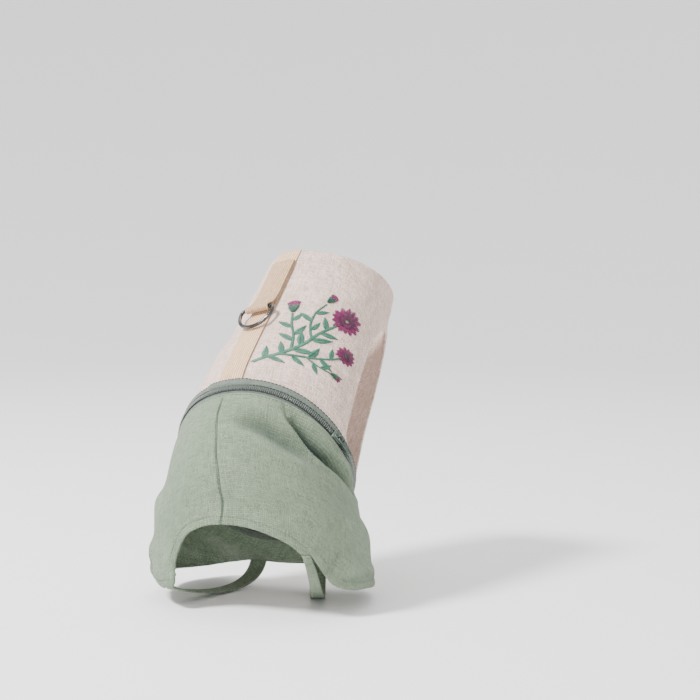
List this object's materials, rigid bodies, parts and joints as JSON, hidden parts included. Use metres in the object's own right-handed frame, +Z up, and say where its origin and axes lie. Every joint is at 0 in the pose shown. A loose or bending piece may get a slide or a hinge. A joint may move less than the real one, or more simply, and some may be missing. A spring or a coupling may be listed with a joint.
{
  "type": "pet costume",
  "caption": "Two-tone linen pet costume as worn: a vest with armholes, a webbing strap with a D ring, a zip round the waist and trousers with a tail opening.",
  "frame": {"origin": "centre of the waist, inside the ring that the zip makes round the wearer", "axes": "+Z up and -Y the way the wearer faces, sitting; +X is the wearer's left"},
  "size_m": [0.1517, 0.2016, 0.2323],
  "materials": {
    "beige_linen": "heathered pinkish-beige plain-weave linen",
    "tan_webbing": "tan ribbed webbing",
    "tan_webbing_doubled": "tan ribbed webbing, doubled round the ring",
    "ring_steel": "polished welded wire",
    "zip_tape": "grey-green woven zip tape",
    "zip_teeth": "dark grey-green moulded teeth",
    "painted_slider": "green paint",
    "pull_metal": "worn grey-green metal",
    "sage_linen": "sage green plain-weave linen"
  },
  "bodies": {
    "costume": {"vest_shell": "beige_linen", "back_webbing": "tan_webbing", "ring_loop": "tan_webbing_doubled", "zip_tape_upper": "zip_tape", "zip_tape_lower": "zip_tape", "zip_chain": "zip_teeth", "zip_slider": "painted_slider", "trousers_shell": "sage_linen"},
    "d_ring": {"d_ring": "ring_steel"},
    "zip_pull": {"zip_pull": "pull_metal"}
  },
  "joints": [
    {"name": "d_ring_hinge", "type": "hinge", "parent": "costume", "child": "d_ring", "pos_m": [0.01492, -0.02131, 0.10347], "axis": [0.952, -0.2124, -0.2206], "range_deg": [0, 150]},
    {"name": "zip_pull_hinge", "type": "hinge", "parent": "costume", "child": "zip_pull", "pos_m": [-0.05993, 0.01304, 0.02321], "axis": [0.0933, 0.8554, -0.5095], "range_deg": [0, 150]}
  ]
}
